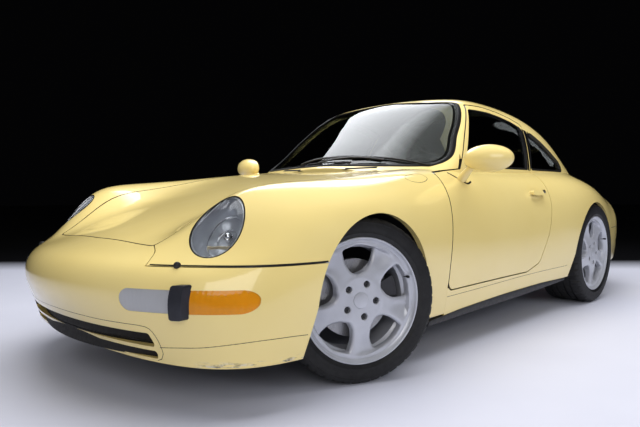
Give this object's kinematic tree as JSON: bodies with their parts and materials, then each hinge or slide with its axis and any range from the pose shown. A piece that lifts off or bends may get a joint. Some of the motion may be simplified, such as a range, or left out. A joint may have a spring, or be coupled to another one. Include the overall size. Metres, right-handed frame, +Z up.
{
  "type": "two-door coupe car",
  "caption": "Low two-door rear-engined coupe with opening doors and lids, steered front wheels and alloy rims, parked with its front wheels turned.",
  "frame": {"origin": "on the floor under the middle of the car's length and width", "axes": "+Z up, nose towards -Y, the car's left side towards +X"},
  "size_m": [1.948, 4.2348, 1.2843],
  "materials": {
    "paint": "glossy pale yellow clear coat",
    "trim": "black satin plastic",
    "underbody": "dark underseal",
    "screen_glass": "lightly tinted glass",
    "lamp_glass": "clear ribbed glass",
    "lamp_bowl": "silvered reflector",
    "amber": "amber lens",
    "red_lens": "red lens",
    "rim_silver": "silver lacquer",
    "tyre": "black rubber",
    "disc_iron": "turned iron",
    "caliper": "dark paint",
    "steel": "plain steel",
    "leather": "black leather"
  },
  "bodies": {
    "root": {"bumper_guards": "trim", "cowl_panel": "paint", "dashboard": "trim", "engine_block": "underbody", "exhaust": "steel", "floor_pan": "underbody", "fog_lamps": "lamp_glass", "front_bumper": "paint", "front_fender_left": "paint", "front_fender_right": "paint", "front_links": "underbody", "front_seats": "leather", "headlamp_bowls": "lamp_bowl", "headlamp_lenses": "lamp_glass", "hinges": "steel", "indicators": "amber", "luggage_tub": "underbody", "quarter_glass": "screen_glass", "quarter_panel_left": "paint", "quarter_panel_right": "paint", "rear_bumper": "paint", "rear_links": "underbody", "rear_seats": "leather", "rear_window": "screen_glass", "roof_frame": "paint", "sill_panels": "paint", "tail_lamps": "red_lens", "tail_panel": "paint", "wheel_liners": "trim", "windscreen": "screen_glass"},
    "wheel_front_left": {"brake_disc_front_left": "disc_iron", "rim_front_left": "rim_silver", "tyre_front_left": "tyre"},
    "wheel_front_right": {"brake_disc_front_right": "disc_iron", "rim_front_right": "rim_silver", "tyre_front_right": "tyre"},
    "wheel_rear_left": {"brake_disc_rear_left": "disc_iron", "drive_shaft_left": "steel", "rim_rear_left": "rim_silver", "tyre_rear_left": "tyre"},
    "wheel_rear_right": {"brake_disc_rear_right": "disc_iron", "drive_shaft_right": "steel", "rim_rear_right": "rim_silver", "tyre_rear_right": "tyre"},
    "door_left_body": {"door_glass_left": "screen_glass", "door_handle_left": "paint", "door_left": "paint", "mirror_left": "paint"},
    "door_right_body": {"door_glass_right": "screen_glass", "door_handle_right": "paint", "door_right": "paint", "mirror_right": "paint"},
    "engine_lid_body": {"engine_lid": "paint"},
    "knuckle_left": {"front_knuckle_left": "caliper"},
    "knuckle_right": {"front_knuckle_right": "caliper"},
    "front_lid_body": {"front_lid": "paint"},
    "steering_body": {"steering_wheel": "leather"}
  },
  "joints": [
    {"name": "door_left_swing", "type": "hinge", "parent": "root", "child": "door_left_body", "pos_m": [0.795, -0.6, 0.485], "axis": [0, 0, -1], "range_deg": [0, 62]},
    {"name": "door_right_swing", "type": "hinge", "parent": "root", "child": "door_right_body", "pos_m": [-0.795, -0.6, 0.485], "axis": [0, 0, 1], "range_deg": [0, 62]},
    {"name": "front_lid_swing", "type": "hinge", "parent": "root", "child": "front_lid_body", "pos_m": [0, -0.682, 0.82006], "axis": [-1, 0, 0], "range_deg": [0, 60]},
    {"name": "engine_lid_swing", "type": "hinge", "parent": "root", "child": "engine_lid_body", "pos_m": [0, 1.346, 0.91936], "axis": [1, 0, 0], "range_deg": [0, 50]},
    {"name": "steer_left", "type": "hinge", "parent": "root", "child": "knuckle_left", "pos_m": [0.68, -1.2075, 0.3185], "axis": [0, 0, 1], "range_deg": [-12, 60]},
    {"name": "steer_right", "type": "hinge", "parent": "root", "child": "knuckle_right", "pos_m": [-0.68, -1.2075, 0.3185], "axis": [0, 0, 1], "range_deg": [-12, 60]},
    {"name": "steering_wheel_turn", "type": "hinge", "parent": "root", "child": "steering_body", "pos_m": [0.36, -0.13, 0.745], "axis": [0, 0.9397, 0.342], "range_deg": [-192, 960]},
    {"name": "wheel_front_left_spin", "type": "hinge", "parent": "knuckle_left", "child": "wheel_front_left", "pos_m": [0.70055, -1.21665, 0.3185], "axis": [0.9135, -0.4067, 0], "continuous": true},
    {"name": "wheel_front_right_spin", "type": "hinge", "parent": "knuckle_right", "child": "wheel_front_right", "pos_m": [-0.70055, -1.19835, 0.3185], "axis": [0.9135, -0.4067, 0], "continuous": true},
    {"name": "wheel_rear_left_spin", "type": "hinge", "parent": "root", "child": "wheel_rear_left", "pos_m": [0.722, 1.0645, 0.3213], "axis": [1, 0, 0], "continuous": true},
    {"name": "wheel_rear_right_spin", "type": "hinge", "parent": "root", "child": "wheel_rear_right", "pos_m": [-0.722, 1.0645, 0.3213], "axis": [1, 0, 0], "continuous": true}
  ],
  "couplings": [
    {"joint": "steer_right", "follows": "steer_left", "ratio": 1},
    {"joint": "steering_wheel_turn", "follows": "steer_left", "ratio": 16}
  ]
}
